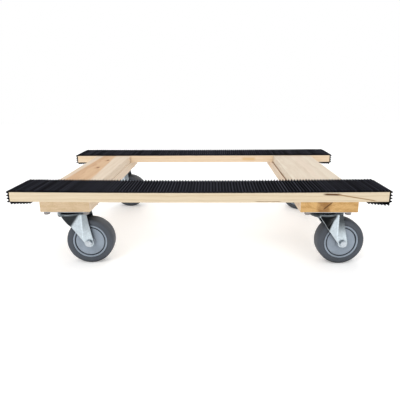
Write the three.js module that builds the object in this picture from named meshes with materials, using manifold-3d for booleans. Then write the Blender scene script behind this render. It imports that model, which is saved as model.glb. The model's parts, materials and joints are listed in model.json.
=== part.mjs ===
// A furniture dolly: two rubber-covered rails and two crossmembers of wood on four swivel plate casters.
// Millimetres. +X runs along the rails, -Y is the front, +Z is up. The origin is on the floor, in the middle.
import * as THREE from "three";
import { mergeVertices } from "three/addons/utils/BufferGeometryUtils.js";
import Module from "manifold-3d";

const wasm = await Module();
wasm.setup();

// ---- Driving dimensions ----------------------------------------------------------------------------------
const DECK_LENGTH = 762; // the rails, 30 in
const DECK_DEPTH = 457.2; // over both rails, 18 in
const RAIL = 20.6; // rail thickness, 13/16 in
const RAIL_WIDTH = 85.7;
const CROSSMEMBER = 22.2; // crossmember thickness, 7/8 in
const FILLER = 20; // the boards between the rails lie a little lower than the rails
const FILLER_GAP = 0.5; // joint between a filler board's end and a rail

const WHEEL_RADIUS = 50.8; // 4 in wheels
const CASTER_HEIGHT = 128.6; // floor to the underside of the crossmembers, 5 1/16 in
const TRAIL = 37.7; // swivel axis to axle
const CASTER_Y = 187; // swivel axes, front and rear

// Each crossmember carries two casters. "turn" is how far each fork is swivelled, front then rear.
const SIDES = [
  { side: "left", boardX: [-320.6, -217.5], fillerX: [-320.6, -219.5], casterX: -272, turn: [2.3, -3] },
  { side: "right", boardX: [207.5, 322.3], fillerX: [212.5, 322.3], casterX: 266.5, turn: [4.8, -47] },
];

// The strip stands off the rails' ends by endGap, and its folds hang off the underside by up to foldGap.
const TREAD = { base: 1.8, rib: 3, pitch: 6.35, crown: 2, underRibs: 6, endGap: 1.2, foldGap: 1.4 };

const PLATE = { x: 96, y: 70, thickness: 3.2, corner: 6, boltX: 41.2, boltY: 28 };
const BOLT = { radius: 3.1, hole: 3.4, nut: 11.1, nutHeight: 5.4, tip: 9.6 };
const BOLT_HEAD = { radius: 7.6, height: 2.4, depth: 0.6 }; // depth is how far it lies below the rail's top

const SHEET = 2.6; // fork and race sheet thickness
const CROWN = { top: -10, radius: 30, skirt: 7.5, bevel: 1 };
const LEG = { outer: 21, tipRadius: 10, topU: 36, leadU: -15, creaseU: 26, creaseIn: 2.4 };
const KINGPIN = { radius: 6, clearance: 0.4, top: 8.8, head: 10.5, headHeight: 3.4 };
const AXLE = { radius: 3.95, nut: 12.7, nutHeight: 6.2, headHeight: 5.4, bushRadius: 7.9, clearance: 0.4 };
const GAP = 0.3; // between touching pieces of a caster

const AXLE_Z = WHEEL_RADIUS - CASTER_HEIGHT; // measured from the crossmember's underside, as CROWN.top is
const PIN_SIDES = 12; // small turned pieces
const RACE_SIDES = 16;
const WHEEL_SIDES = 20;
const TYRE_SIDES = 30;

// ---- Helpers ----------------------------------------------------------------------------------------------
const deg = (degrees) => THREE.MathUtils.degToRad(degrees);

function material(color, roughness, metalness) {
  return new THREE.MeshStandardMaterial({ color, roughness, metalness, flatShading: true });
}

const WOOD = material(0xe6d3b3, 0.75, 0);
const END_GRAIN = material(0xbf9a63, 0.8, 0);
const RUBBER = material(0x23232b, 0.8, 0);
const TYRE = material(0x50545c, 0.7, 0);
const CORE = material(0x8f9baa, 0.5, 0);
const ZINC = material(0xc8d2da, 0.3, 1);

// Shared vertices are merged, slivers dropped and the faces turned outwards.
function closed(source) {
  const bare = new THREE.BufferGeometry();
  bare.setAttribute("position", source.getAttribute("position").clone());
  bare.setIndex(source.index ? source.index.clone() : null);
  const merged = mergeVertices(bare, 1e-4);
  const index = [];
  const from = merged.index.array;
  for (let i = 0; i < from.length; i += 3) {
    const [a, b, c] = [from[i], from[i + 1], from[i + 2]];
    if (a !== b && b !== c && c !== a) index.push(a, b, c);
  }
  const position = merged.getAttribute("position");
  const corner = [new THREE.Vector3(), new THREE.Vector3(), new THREE.Vector3()];
  let volume = 0;
  for (let i = 0; i < index.length; i += 3) {
    corner.forEach((point, k) => point.fromBufferAttribute(position, index[i + k]));
    volume += corner[0].dot(corner[1].cross(corner[2]));
  }
  merged.setIndex(volume < 0 ? index.reverse() : index);
  return merged;
}

function solid(geometry) {
  const whole = closed(geometry);
  const vertProperties = new Float32Array(whole.getAttribute("position").array);
  const triVerts = new Uint32Array(whole.index.array);
  return new wasm.Manifold(new wasm.Mesh({ numProp: 3, vertProperties, triVerts }));
}

function geometryOf(body) {
  const { vertProperties, triVerts } = body.getMesh();
  const geometry = new THREE.BufferGeometry();
  geometry.setAttribute("position", new THREE.BufferAttribute(new Float32Array(vertProperties), 3));
  geometry.setIndex(new THREE.BufferAttribute(new Uint32Array(triVerts), 1));
  return geometry;
}

function box([x0, x1], [y0, y1], [z0, z1]) {
  const geometry = new THREE.BoxGeometry(x1 - x0, y1 - y0, z1 - z0);
  return geometry.translate((x0 + x1) / 2, (y0 + y1) / 2, (z0 + z1) / 2);
}

// Points are [radius, height along the axis]. The axis is Z.
function turned(points, sides = PIN_SIDES) {
  const profile = points.map(([radius, height]) => new THREE.Vector2(radius, height));
  return new THREE.LatheGeometry(profile, sides).rotateX(Math.PI / 2);
}

function rod(radius, [low, high], sides = PIN_SIDES) {
  return turned([[0, low], [radius, low], [radius, high], [0, high]], sides);
}

function ring(points, sides = PIN_SIDES) {
  return turned([...points, points[0]], sides);
}

// A hexagon's corner radius is its width across flats over the square root of 3.
function hexagon(acrossFlats, span) {
  return rod(acrossFlats / Math.sqrt(3), span, 6);
}

// From an axis along Z to an axis along Y. What was on top comes to face -Y.
const alongY = (geometry) => geometry.rotateX(Math.PI / 2);

function named(name, geometry, look) {
  const mesh = new THREE.Mesh(closed(geometry), look);
  mesh.name = name;
  return mesh;
}

// ---- Deck -------------------------------------------------------------------------------------------------
const CROSS_Z = [CASTER_HEIGHT, CASTER_HEIGHT + CROSSMEMBER];
const RAIL_Z = [CROSS_Z[1], CROSS_Z[1] + RAIL];
const RAIL_X = [-DECK_LENGTH / 2, DECK_LENGTH / 2];
const RAILS = [
  { end: "front", y: [-DECK_DEPTH / 2, -DECK_DEPTH / 2 + RAIL_WIDTH] },
  { end: "rear", y: [DECK_DEPTH / 2 - RAIL_WIDTH, DECK_DEPTH / 2] },
];

function boltSpots(casterX, casterY) {
  const spots = [];
  for (const y of [-PLATE.boltY, PLATE.boltY]) {
    for (const x of [-PLATE.boltX, PLATE.boltX]) spots.push([casterX + x, casterY + y]);
  }
  return spots;
}

// A board with the caster bolts' holes, and with room for their heads where it lies on top.
function board(x, y, z, spots, headRoom) {
  let body = solid(box(x, y, z));
  for (const [holeX, holeY] of spots) {
    const hole = rod(BOLT.hole, [z[0] - 1, z[1] + 1], 8).translate(holeX, holeY, 0);
    body = body.subtract(solid(hole));
    if (!headRoom) continue;
    const depth = BOLT_HEAD.depth + BOLT_HEAD.height + GAP;
    const room = rod(BOLT_HEAD.radius + GAP, [z[1] - depth, z[1] + 1], 8).translate(holeX, holeY, 0);
    body = body.subtract(solid(room));
  }
  return geometryOf(body);
}

// The tread's section: a strip with ribs along X that is folded down over both ends of the rail. It is drawn
// for one end, from the fold's free edge up to the top, with z = 0 on the rail's top. "end" is -1 or 1.
function treadEnd(end) {
  const { base, rib, pitch, crown, underRibs, endGap, foldGap } = TREAD;
  const half = DECK_LENGTH / 2;
  const outline = [];
  // A point at a distance along the strip and a height above it, where the strip faces "out" degrees from +X.
  const point = (x, z, out, distance, height) => {
    const [nx, nz] = [Math.cos(deg(out)), Math.sin(deg(out))];
    outline.push([end * (x + nx * height - nz * distance), z + nz * height + nx * distance]);
  };
  const addRib = (x, z, out) => {
    point(x, z, out, -pitch / 2, 0);
    point(x, z, out, -crown / 2, rib);
    point(x, z, out, crown / 2, rib);
  };
  const cornerRib = (x, z, out) => {
    const height = base * Math.SQRT1_2 + rib * 0.8;
    point(x, z, out, -crown / 2, height);
    point(x, z, out, crown / 2, height);
  };
  for (let i = 0; i < underRibs; i += 1) {
    const hang = (foldGap * i) / underRibs;
    addRib(half - pitch * (underRibs - i - 0.5), -RAIL - base - hang, 270);
  }
  outline.push([end * (half + endGap), -RAIL - base - foldGap]);
  cornerRib(half + endGap, -RAIL - foldGap, 315);
  for (const k of [-1, 0, 1]) addRib(half + endGap + base, -RAIL / 2 + k * pitch, 0);
  outline.push([end * (half + endGap + base), 0]);
  cornerRib(half + endGap, 0, 45);
  outline.push([end * (half + endGap), base]);
  const free = half - underRibs * pitch;
  const inside = [[half + endGap, 0], [half + endGap, -RAIL - foldGap], [free, -RAIL], [free, -RAIL - base]];
  return [...inside.map(([x, z]) => [end * x, z]), ...outline];
}

function treadSection() {
  const { base, rib, pitch, crown } = TREAD;
  const top = [];
  for (let x = (pitch - DECK_LENGTH) / 2; x < DECK_LENGTH / 2; x += pitch) {
    top.push([x - pitch / 2, base], [x - crown / 2, base + rib], [x + crown / 2, base + rib]);
  }
  const outline = [...treadEnd(-1), ...top, [DECK_LENGTH / 2, base], ...treadEnd(1).reverse()];
  return new THREE.Shape(outline.map(([x, z]) => new THREE.Vector2(x, z)));
}

function deck() {
  const group = new THREE.Group();
  const section = treadSection();
  const bothEnds = ({ casterX }) => [-CASTER_Y, CASTER_Y].flatMap((y) => boltSpots(casterX, y));
  const everySpot = SIDES.flatMap(bothEnds);
  for (const { end, y } of RAILS) {
    const spots = everySpot.filter((spot) => spot[1] > y[0] && spot[1] < y[1]);
    group.add(named(`${end}_rail`, board(RAIL_X, y, RAIL_Z, spots, true), WOOD));
    const strip = new THREE.ExtrudeGeometry(section, { depth: RAIL_WIDTH, bevelEnabled: false, steps: 1 });
    group.add(named(`${end}_tread`, alongY(strip).translate(0, y[1], RAIL_Z[1]), RUBBER));
  }
  const depth = [-DECK_DEPTH / 2, DECK_DEPTH / 2];
  const between = [RAILS[0].y[1] + FILLER_GAP, RAILS[1].y[0] - FILLER_GAP];
  for (const { side, boardX, fillerX } of SIDES) {
    const spots = everySpot.filter((spot) => spot[0] > boardX[0] && spot[0] < boardX[1]);
    group.add(named(`${side}_crossmember`, board(boardX, depth, CROSS_Z, spots, false), END_GRAIN));
    const filler = box(fillerX, between, [CROSS_Z[1], CROSS_Z[1] + FILLER]);
    group.add(named(`${side}_filler_board`, filler, WOOD));
  }
  return group;
}

// ---- Caster pieces, measured from the swivel axis and the crossmember's underside ------------------------
function topPlate() {
  const { x, y, corner, thickness } = PLATE;
  const [halfX, halfY] = [x / 2, y / 2];
  const outline = new THREE.Shape();
  outline.moveTo(halfX, corner - halfY);
  outline.absarc(halfX - corner, halfY - corner, corner, 0, Math.PI / 2);
  outline.absarc(corner - halfX, halfY - corner, corner, Math.PI / 2, Math.PI);
  outline.absarc(corner - halfX, corner - halfY, corner, Math.PI, Math.PI * 1.5);
  outline.absarc(halfX - corner, corner - halfY, corner, Math.PI * 1.5, Math.PI * 2);
  const sheet = { depth: thickness, bevelEnabled: false, curveSegments: 3 };
  const flat = new THREE.ExtrudeGeometry(outline, sheet);
  const race = turned([[0, -5.6], [21, -5.6], [24.5, -thickness + 0.5], [0, -thickness + 0.5]], RACE_SIDES);
  let body = solid(flat.translate(0, 0, -thickness)).add(solid(race));
  for (const [holeX, holeY] of boltSpots(0, 0)) {
    body = body.subtract(solid(rod(BOLT.hole, [-thickness - 1, 1], 8).translate(holeX, holeY, 0)));
  }
  const [pin, pinTop] = [KINGPIN.radius + GAP, KINGPIN.top + GAP];
  const pinHole = [[0, -9], [pin, -9], [pin, -2], [pinTop, -2], [pinTop, 1], [0, 1]];
  return geometryOf(body.subtract(solid(turned(pinHole))));
}

function kingpin() {
  const { radius, top, head, headHeight } = KINGPIN;
  const shoulder = CROWN.top - SHEET - GAP;
  const lower = [[0, shoulder - headHeight], [head - 2, shoulder - headHeight], [head, shoulder - 1.4]];
  const shaft = [[head, shoulder], [radius, shoulder], [radius, -1.7], [top, -1.7], [top, -GAP], [0, -GAP]];
  return turned([...lower, ...shaft]);
}

function ballRace() {
  const [low, high] = [CROWN.top + GAP, -5.6 - GAP];
  const middle = (low + high) / 2;
  return ring([[17, low], [24.5, low], [26, middle], [24.5, high], [17, high]], RACE_SIDES);
}

// How far the leg's outer face stands from the fork's middle plane: the round crown blends into a flat leg
// along a slanting crease, and the strip behind the leg's upright crease leans inwards towards the top.
function legFace(u, z) {
  const crown = Math.sqrt(Math.max(CROWN.radius ** 2 - u ** 2, LEG.outer ** 2));
  const slant = Math.min(-43 + 1.4 * (u - 3), -18);
  const fade = THREE.MathUtils.clamp((z - slant) / (-17 - slant), 0, 1);
  const lean = THREE.MathUtils.clamp((z + 70) / 50, 0, 1);
  const strip = THREE.MathUtils.clamp((u - LEG.creaseU) / 10, 0, 1);
  return LEG.outer + (crown - LEG.outer) * fade - LEG.creaseIn * strip * lean;
}

// One leg as a grid: rows go down from the crown to the tip, columns from the leading to the trailing edge.
function leg(side) {
  const { tipRadius, topU, leadU } = LEG;
  const top = CROWN.top - SHEET / 2;
  const straight = [top, -17.5, -24, -32, -44, -56, AXLE_Z];
  const rows = straight.map((z) => {
    const down = THREE.MathUtils.clamp((z + 21) / (AXLE_Z + 21), 0, 1);
    const lead = THREE.MathUtils.lerp(leadU, TRAIL - tipRadius, down);
    return { z, lead, trail: THREE.MathUtils.lerp(topU, TRAIL + tipRadius, down) };
  });
  for (const angle of [35, 70]) {
    const reach = tipRadius * Math.cos(deg(angle));
    rows.push({ z: AXLE_Z - tipRadius * Math.sin(deg(angle)), lead: TRAIL - reach, trail: TRAIL + reach });
  }
  const columns = 5;
  const position = [];
  for (const { z, lead, trail } of rows) {
    for (let c = 0; c <= columns; c += 1) {
      const u = THREE.MathUtils.lerp(lead, trail, c / columns);
      const face = legFace(u, z);
      position.push(u, side * face, z, u, side * (face - SHEET), z);
    }
  }
  const at = (row, column, inner) => (row * (columns + 1) + column) * 2 + inner;
  const index = [];
  const quad = (a, b, c, d) => index.push(a, b, c, a, c, d);
  const last = rows.length - 1;
  for (let r = 0; r < last; r += 1) {
    for (let c = 0; c < columns; c += 1) {
      quad(at(r, c, 0), at(r, c + 1, 0), at(r + 1, c + 1, 0), at(r + 1, c, 0));
      quad(at(r, c, 1), at(r + 1, c, 1), at(r + 1, c + 1, 1), at(r, c + 1, 1));
    }
    quad(at(r, 0, 0), at(r + 1, 0, 0), at(r + 1, 0, 1), at(r, 0, 1));
    quad(at(r, columns, 0), at(r, columns, 1), at(r + 1, columns, 1), at(r + 1, columns, 0));
  }
  for (let c = 0; c < columns; c += 1) {
    quad(at(0, c, 0), at(0, c, 1), at(0, c + 1, 1), at(0, c + 1, 0));
    quad(at(last, c, 0), at(last, c + 1, 0), at(last, c + 1, 1), at(last, c, 1));
  }
  const geometry = new THREE.BufferGeometry();
  geometry.setAttribute("position", new THREE.Float32BufferAttribute(position, 3));
  geometry.setIndex(index);
  return geometry;
}

function fork() {
  const { top, radius, skirt, bevel } = CROWN;
  const flank = Math.asin(LEG.outer / radius);
  const legTop = legFace(LEG.topU, top);
  const outline = new THREE.Shape();
  outline.moveTo(LEG.topU, -legTop);
  outline.lineTo(LEG.topU, legTop);
  outline.absarc(0, 0, radius, flank, Math.PI * 2 - flank);
  const cover = new THREE.ExtrudeGeometry(outline, {
    depth: SHEET - 2 * bevel,
    bevelThickness: bevel,
    bevelSize: bevel,
    bevelOffset: -bevel,
    bevelSegments: 1,
    curveSegments: 10,
  });
  const [inner, high, low] = [radius - SHEET, top - bevel, top - skirt];
  const rim = [[inner, low], [radius, low], [radius, high], [inner, high]];
  const front = box([-radius - 1, LEG.leadU + 2], [-radius, radius], [top - skirt - 1, top + 1]);
  let body = solid(cover.translate(0, 0, top - SHEET + bevel));
  body = body.add(solid(ring(rim, RACE_SIDES)).intersect(solid(front)));
  body = body.add(solid(leg(-1))).add(solid(leg(1)));
  body = body.subtract(solid(rod(KINGPIN.radius + KINGPIN.clearance, [top - 12, top + 4])));
  const axleHole = alongY(rod(AXLE.radius + AXLE.clearance, [-40, 40])).translate(TRAIL, 0, AXLE_Z);
  return geometryOf(body.subtract(solid(axleHole)));
}

// ---- Pieces on the axle, turned about Z first and then laid along Y. Their near side ends up at -Y. ------
function axleBolt() {
  const face = LEG.outer + GAP;
  const { radius, headHeight, nutHeight } = AXLE;
  const shaft = solid(rod(radius, [-face - nutHeight - 2.4, face + 1]));
  return geometryOf(shaft.add(solid(hexagon(AXLE.nut, [face, face + headHeight]))));
}

function axleNut() {
  const face = LEG.outer + GAP;
  const nut = solid(hexagon(AXLE.nut, [-face - AXLE.nutHeight, -face]));
  const hole = solid(rod(AXLE.radius + AXLE.clearance, [-face - AXLE.nutHeight - 1, -face + 1]));
  return geometryOf(nut.subtract(hole));
}

function axleBush() {
  const half = LEG.outer - SHEET - GAP;
  const [inner, outer] = [AXLE.radius + AXLE.clearance, AXLE.bushRadius];
  return ring([[inner, -half], [outer, -half], [outer, half], [inner, half]]);
}

// A section that is the same on both sides of the wheel is given for one side, from the inside out.
function mirrored(points) {
  return [...points, ...points.map(([radius, across]) => [radius, -across]).reverse()];
}

function wheelCore() {
  const bore = AXLE.bushRadius + AXLE.clearance;
  const web = [[bore, 17.4], [12.5, 17.4], [12.5, 13.2], [31, 13.2]];
  const rim = [[32.2, 10.6], [33.2, 13.8], [37.2, 13.8]];
  return ring(mirrored([...web, ...rim]), WHEEL_SIDES);
}

function tyre() {
  // The facets touch the floor, so the corners between them lie a little further out.
  const outer = WHEEL_RADIUS / Math.cos(Math.PI / TYRE_SIDES);
  const side = [[37.6, 14], [44.5, 15.4], [48.5, 13.8], [outer, 6.5]];
  return ring(mirrored(side), TYRE_SIDES);
}

function mountingBolt() {
  const top = CROSSMEMBER + RAIL - BOLT_HEAD.depth;
  const under = top - BOLT_HEAD.height;
  const dome = [[BOLT_HEAD.radius, under], [BOLT_HEAD.radius * 0.7, top], [0, top]];
  const shank = turned([[0, -BOLT.tip], [BOLT.radius, -BOLT.tip], [BOLT.radius, under], ...dome], 8);
  const nutTop = -PLATE.thickness - GAP;
  return geometryOf(solid(shank).add(solid(hexagon(BOLT.nut, [nutTop - BOLT.nutHeight, nutTop]))));
}

// ---- Assembly ---------------------------------------------------------------------------------------------
function caster(name, x, y, turn) {
  const fixed = new THREE.Group();
  fixed.position.set(x, y, CASTER_HEIGHT);
  fixed.add(named(`${name}_top_plate`, topPlate(), ZINC));
  fixed.add(named(`${name}_kingpin`, kingpin(), ZINC));
  boltSpots(0, 0).forEach(([boltX, boltY], number) => {
    const bolt = named(`${name}_mounting_bolt_${number + 1}`, mountingBolt(), ZINC);
    bolt.position.set(boltX, boltY, 0);
    fixed.add(bolt);
  });
  const swivel = new THREE.Group();
  swivel.rotation.z = deg(turn);
  swivel.add(named(`${name}_ball_race`, ballRace(), ZINC));
  swivel.add(named(`${name}_fork`, fork(), ZINC));
  const axle = new THREE.Group();
  axle.position.set(TRAIL, 0, AXLE_Z);
  axle.add(named(`${name}_axle_bolt`, alongY(axleBolt()), ZINC));
  axle.add(named(`${name}_axle_nut`, alongY(axleNut()), ZINC));
  axle.add(named(`${name}_axle_bush`, alongY(axleBush()), ZINC));
  axle.add(named(`${name}_wheel_core`, alongY(wheelCore()), CORE));
  // Half a facet's turn puts a flat of the tyre on the floor.
  axle.add(named(`${name}_tyre`, alongY(tyre().rotateZ(Math.PI / TYRE_SIDES)), TYRE));
  swivel.add(axle);
  fixed.add(swivel);
  return fixed;
}

const dolly = new THREE.Group();
dolly.add(deck());
for (const { side, casterX, turn } of SIDES) {
  dolly.add(caster(`front_${side}`, casterX, -CASTER_Y, turn[0]));
  dolly.add(caster(`rear_${side}`, casterX, CASTER_Y, turn[1]));
}

export default dolly;
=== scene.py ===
import json
import math
import random

import bmesh
import bpy
from mathutils import Matrix, Vector


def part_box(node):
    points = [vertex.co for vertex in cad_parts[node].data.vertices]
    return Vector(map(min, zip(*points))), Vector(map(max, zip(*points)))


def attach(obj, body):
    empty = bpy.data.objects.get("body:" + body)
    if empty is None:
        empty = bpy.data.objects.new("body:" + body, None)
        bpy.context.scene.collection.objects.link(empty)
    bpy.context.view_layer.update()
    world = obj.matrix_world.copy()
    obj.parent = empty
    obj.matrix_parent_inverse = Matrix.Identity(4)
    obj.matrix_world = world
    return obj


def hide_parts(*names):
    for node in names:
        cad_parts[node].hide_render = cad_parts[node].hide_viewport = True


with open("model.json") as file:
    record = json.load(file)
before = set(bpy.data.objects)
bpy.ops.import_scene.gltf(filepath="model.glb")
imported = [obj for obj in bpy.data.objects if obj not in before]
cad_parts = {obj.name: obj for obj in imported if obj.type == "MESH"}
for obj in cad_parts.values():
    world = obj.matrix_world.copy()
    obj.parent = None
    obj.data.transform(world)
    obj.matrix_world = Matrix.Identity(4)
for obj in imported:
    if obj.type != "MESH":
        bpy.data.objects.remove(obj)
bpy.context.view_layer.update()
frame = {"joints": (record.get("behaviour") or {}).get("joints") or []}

MM = 0.001
GAP = 0.3  # between pieces that touch
BODY = "deck"
CORNERS = ("front_left", "front_right", "rear_left", "rear_right")
JOINTS = {joint["name"]: joint for joint in frame["joints"]}


def limits(node):
    """The lowest and highest corner of a CAD node, in millimetres."""
    low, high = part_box(node)
    return Vector(low) / MM, Vector(high) / MM


def clamp(value, low=0.0, high=1.0):
    return max(low, min(high, value))


def ease(value):
    value = clamp(value)
    return value * value * (3 - 2 * value)


def lerp(start, end, part):
    return start + (end - start) * part


# ---- Mesh helpers ----
def new_object(name, data):
    item = bpy.data.objects.new(name, data)
    bpy.context.scene.collection.objects.link(item)
    return item


def add_object(name, vertices, faces, material, place=None, smooth=40):
    """A mesh piece from points in millimetres. Edges sharper than smooth degrees stay sharp."""
    mesh = bpy.data.meshes.new(name)
    mesh.from_pydata([Vector(v) * MM for v in vertices], [], faces)
    mesh.validate()
    if place is not None:
        mesh.transform(place)
    mesh.materials.append(material)
    piece = new_object(name, mesh)
    smooth_shade(piece, smooth)
    return piece


def smooth_shade(piece, angle):
    piece.data.polygons.foreach_set("use_smooth", [True] * len(piece.data.polygons))
    piece.data.set_sharp_from_angle(angle=math.radians(angle))


def apply_modifiers(piece, smooth):
    """Puts the modifiers' result in the mesh, so that nothing is left to evaluate."""
    graph = bpy.context.evaluated_depsgraph_get()
    graph.update()
    result = bpy.data.meshes.new_from_object(piece.evaluated_get(graph))
    piece.modifiers.clear()
    piece.data = result
    smooth_shade(piece, smooth)
    return piece


def bevel(piece, width, segments, angle=60):
    """Rounds the edges that are sharper than angle degrees."""
    modifier = piece.modifiers.new("bevel", "BEVEL")
    modifier.width = width * MM
    modifier.segments = segments
    modifier.limit_method = "ANGLE"
    modifier.angle_limit = math.radians(angle)


def outward(piece, sheet=False):
    """Turns the faces of a closed mesh outwards, and those of an open sheet up."""
    work = bmesh.new()
    work.from_mesh(piece.data)
    if not sheet:
        bmesh.ops.remove_doubles(work, verts=work.verts, dist=1e-6)
    bmesh.ops.recalc_face_normals(work, faces=work.faces)
    if sheet and sum(face.normal.z * face.calc_area() for face in work.faces) < 0:
        bmesh.ops.reverse_faces(work, faces=work.faces)
    work.to_mesh(piece.data)
    work.free()
    return piece


def join(name, pieces):
    """Several pieces of one material each, made into one piece."""
    vertices, faces, slots, materials = [], [], [], []
    for piece in pieces:
        mesh = piece.data
        start = len(vertices)
        material = mesh.materials[0]
        if material not in materials:
            materials.append(material)
        vertices += [vertex.co.copy() for vertex in mesh.vertices]
        for face in mesh.polygons:
            faces.append([start + index for index in face.vertices])
            slots.append(materials.index(material))
        bpy.data.objects.remove(piece)
    mesh = bpy.data.meshes.new(name)
    mesh.from_pydata(vertices, [], faces)
    for material in materials:
        mesh.materials.append(material)
    mesh.polygons.foreach_set("material_index", slots)
    whole = new_object(name, mesh)
    smooth_shade(whole, 40)
    return whole


def ring_faces(rings, closed=False):
    """Faces between each ring of points and the next, and between the last and the first if closed."""
    faces = []
    for lower, upper in zip(rings, rings[1:] + rings[:1] * closed):
        for step, here in enumerate(lower):
            after = (step + 1) % len(lower)
            faces.append(list(dict.fromkeys((here, lower[after], upper[after], upper[step]))))
    return faces


def lathe(name, profile, material, place, sides=96, smooth=32):
    """Turns a profile of (radius, height) about Z. It starts and ends on the axis or closes on itself."""
    vertices, rings = [], []
    for radius, height in profile:
        spots = sides if radius else 1
        rings.append([len(vertices) + step % spots for step in range(sides)])
        for step in range(spots):
            angle = 2 * math.pi * step / sides
            vertices.append((radius * math.cos(angle), radius * math.sin(angle), height))
    faces = ring_faces(rings, closed=profile[0][0] != 0)
    return outward(add_object(name, vertices, faces, material, place, smooth))


def arc(centre, radius, start, end, steps):
    """Points on an arc, as (radius, height) pairs, between two angles in degrees."""
    points = []
    for step in range(steps + 1):
        angle = math.radians(start + (end - start) * step / steps)
        points.append((centre[0] + radius * math.cos(angle), centre[1] + radius * math.sin(angle)))
    return points


def rounded_rectangle(half_x, half_y, corner):
    points = []
    for turn, (side_x, side_y) in enumerate(((1, 1), (-1, 1), (-1, -1), (1, -1))):
        centre = (side_x * (half_x - corner), side_y * (half_y - corner))
        points += arc(centre, corner, 90 * turn, 90 * turn + 90, 6)
    return points


def shade_points(piece, painted_light_tones):
    """Stores a tone for each point, which the materials read as shade: painted light and shade."""
    piece.data.attributes.new("shade", "FLOAT", "POINT").data.foreach_set("value", painted_light_tones)


def finish_piece(piece, body, slot, *nodes):
    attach(piece, body)
    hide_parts(*nodes)


# ---- Shader helpers ----
SURFACE_SAMPLES = 6  # for occlusion and rounded edges


class Nodes:
    """The nodes of a material or a sky. A method that adds a node gives back what the next one reads."""

    def __init__(self, owner, surface="Principled BSDF"):
        owner.use_nodes = True
        self.owner = owner
        self.nodes, self.links = owner.node_tree.nodes, owner.node_tree.links
        self.surface = self.nodes[surface]
        self.coordinates = self.node("TexCoord").outputs

    def put(self, node, socket, value):
        if isinstance(value, bpy.types.NodeSocket):
            self.links.new(value, node.inputs[socket])
        elif value is not None:
            node.inputs[socket].default_value = value

    def node(self, kind, *values):
        """A new node with its first inputs."""
        node = self.nodes.new("ShaderNode" + kind)
        for socket, value in enumerate(values):
            self.put(node, socket, value)
        return node

    def scaled(self, x, y=None, z=None, offset=(0, 0, 0)):
        """Coordinates for a noise, with the scale of each axis in units per millimetre, or one for all."""
        node = self.node("Mapping", self.coordinates["Object"])
        node.inputs["Scale"].default_value = (x / MM, (y or x) / MM, (z or x) / MM)
        node.inputs["Location"].default_value = offset
        return node.outputs[0]

    def noise(self, vector, detail, roughness, scale=1.0):
        node = self.node("TexNoise", vector)
        for socket, value in (("Scale", scale), ("Detail", detail), ("Roughness", roughness)):
            node.inputs[socket].default_value = value
        return node.outputs["Fac"]

    def cells(self, vector):
        """A random value for each cell of a crystal-like pattern."""
        node = self.node("TexVoronoi", vector)
        node.inputs["Scale"].default_value = 1.0
        return self.split(node.outputs["Color"])[0]

    def math(self, operation, first, second=None, clamp=False):
        node = self.node("Math", first, second)
        node.operation = operation
        node.use_clamp = clamp
        return node.outputs[0]

    def add(self, first, *others):
        for other in others:
            first = self.math("ADD", first, other)
        return first

    def less(self, first, second):
        return self.math("SUBTRACT", first, second)

    def times(self, first, second):
        return self.math("MULTIPLY", first, second)

    def swing(self, value, size):
        """A noise turned into a shift of up to half of size either way."""
        return self.times(self.less(value, 0.5), size)

    def vector(self, operation, first, second=None):
        node = self.node("VectorMath", first, second)
        node.operation = operation
        return node.outputs["Value" if operation in ("LENGTH", "DOT_PRODUCT") else "Vector"]

    def split(self, vector):
        return self.node("SeparateXYZ", vector).outputs

    def combine(self, x, y, z):
        return self.node("CombineXYZ", x, y, z).outputs[0]

    def spread(self, value, low, high, new_low=0.0, new_high=1.0, smooth=True):
        """Turns the range from low to high into the new one, and keeps what is past it at its ends."""
        node = self.node("MapRange", value, low, high, new_low, new_high)
        node.interpolation_type = "SMOOTHSTEP" if smooth else "LINEAR"
        return node.outputs[0]

    def ramp(self, value, *stops):
        node = self.node("ValToRGB", value)
        elements = node.color_ramp.elements
        while len(elements) < len(stops):
            elements.new(0.5)
        for element, (position, colour) in zip(elements, stops):
            element.position = position
            element.color = (*colour, 1)
        return node.outputs[0]

    def mix(self, amount, first, second, blend="MIX"):
        node = self.node("Mix", amount)
        node.data_type = "RGBA"
        node.blend_type = blend
        for socket, value in ((6, first), (7, second)):
            self.put(node, socket, (*value, 1) if isinstance(value, tuple) else value)
        return node.outputs[2]

    def tinted(self, colour, tint):
        return self.mix(1.0, colour, tint, "MULTIPLY")

    def darkened(self, colour, share):
        return self.tinted(colour, self.combine(share, share, share))

    def bump(self, height, depth, strength, under=None):
        """A bump whose height runs from 0 to depth millimetres."""
        node = self.node("Bump", strength, depth * MM)
        self.put(node, "Height", height)
        self.put(node, "Normal", under)
        return node.outputs["Normal"]

    def shade(self):
        """The tone that the mesh holds for its points: painted light and shade."""
        node = self.node("Attribute")
        node.attribute_name = "shade"
        return node.outputs["Fac"]

    def occlusion(self, distance, low):
        """A painted-shade factor: 1 in the open, down to low in corners and between close surfaces."""
        node = self.node("AmbientOcclusion")
        node.samples = SURFACE_SAMPLES
        node.inputs["Distance"].default_value = distance * MM
        return self.spread(node.outputs["AO"], 0.15, 0.85, low, 1.0, False)

    def between(self, value, low, high, soft):
        """1 between low and high, fading over soft on both sides."""
        rise = self.spread(self.less(value, low), -soft, soft)
        fall = self.spread(self.less(value, high), soft, -soft)
        return self.times(rise, fall)

    def facing(self, axis):
        """The absolute part of the surface's direction that lies along one axis."""
        normal = self.node("NewGeometry").outputs["Normal"]
        return self.math("ABSOLUTE", self.split(normal)["XYZ".index(axis)])

    def edges(self, radius):
        """0 on flat stretches, up to 1 where the surface turns within radius millimetres."""
        node = self.node("Bevel", radius * MM)
        node.samples = SURFACE_SAMPLES
        along = self.vector("DOT_PRODUCT", node.outputs[0], self.node("NewGeometry").outputs["Normal"])
        return self.spread(along, 1.0, 0.75)

    def set(self, **values):
        """Sets the surface's sockets, with an underscore for each space in a socket's name."""
        for name, value in values.items():
            self.put(self.surface, name.replace("_", " "), value)
        return self.owner


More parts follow.
